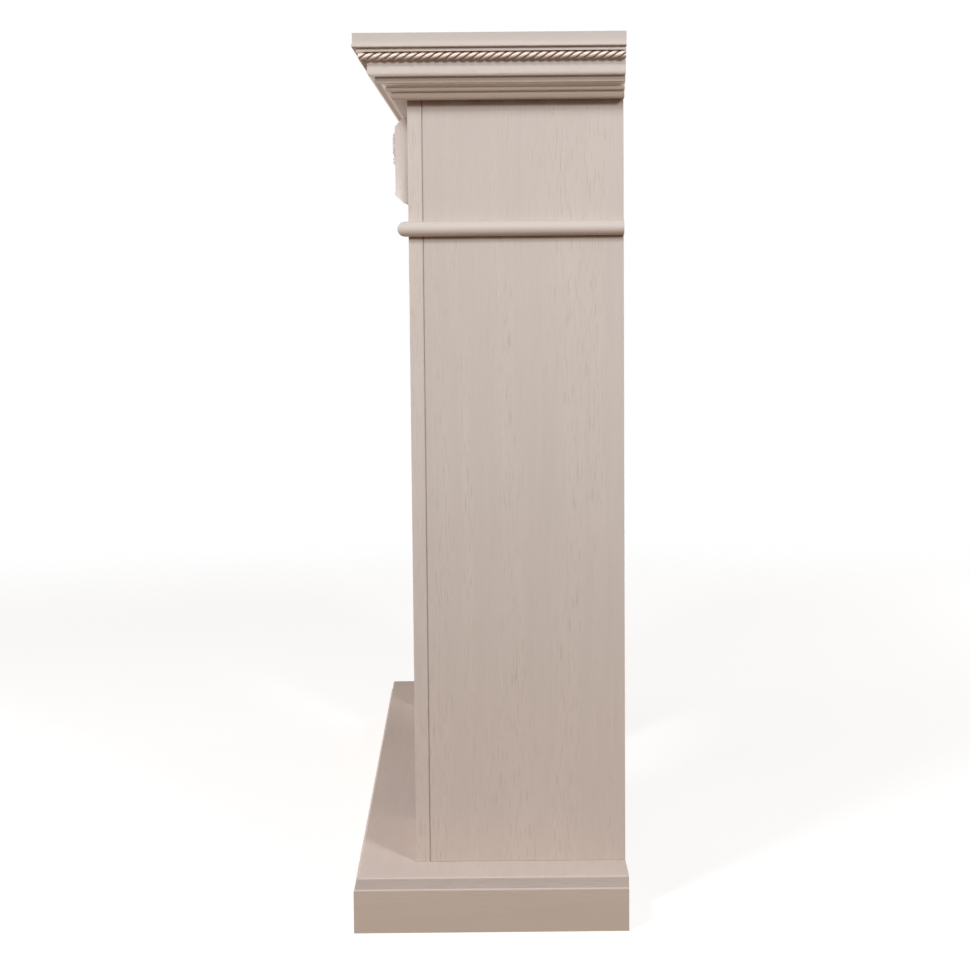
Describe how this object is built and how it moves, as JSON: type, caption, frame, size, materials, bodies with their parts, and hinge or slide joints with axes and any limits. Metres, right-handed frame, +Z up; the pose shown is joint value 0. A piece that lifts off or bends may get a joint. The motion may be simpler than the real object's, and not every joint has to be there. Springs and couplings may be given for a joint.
{
  "type": "fireplace mantelpiece",
  "caption": "Free-standing wooden fireplace surround with corniced shelf, rope moulding, carved frieze blocks, bead moulding, pilasters, fire opening and a raised hearth.",
  "frame": {"origin": "on the floor, under the middle of the hearth's rectangle", "axes": "+X along the width, -Y is the front, +Z up"},
  "size_m": [1.17, 0.31, 1],
  "materials": {
    "shelf": "cream limed oak, satin lacquer",
    "moulding": "cream lacquered moulding with brownish recesses",
    "rope": "cream lacquered rope moulding, brown in its grooves",
    "front_board": "cream limed oak, open pores",
    "end_panel": "cream limed oak, open pores, upright grain",
    "carving": "cream lacquered carving, brownish in its hollows",
    "lining": "plain cream board",
    "hearth": "cream limed oak, grain along the length"
  },
  "bodies": {
    "root": {"mantel_shelf": "shelf", "cornice_front": "moulding", "cornice_left": "moulding", "cornice_right": "moulding", "rope_front": "rope", "rope_left": "rope", "rope_right": "rope", "astragal_front": "moulding", "astragal_left": "moulding", "astragal_right": "moulding", "pilaster_left": "front_board", "pilaster_right": "front_board", "lintel": "front_board", "side_panel_left": "end_panel", "side_panel_right": "end_panel", "frieze_block_left": "carving", "frieze_block_right": "carving", "niche_cheek_left": "lining", "niche_cheek_right": "lining", "niche_head": "lining", "back_rail": "lining", "hearth_top": "hearth", "hearth_front": "hearth", "hearth_left": "hearth", "hearth_right": "hearth", "hearth_back": "lining"}
  },
  "joints": []
}
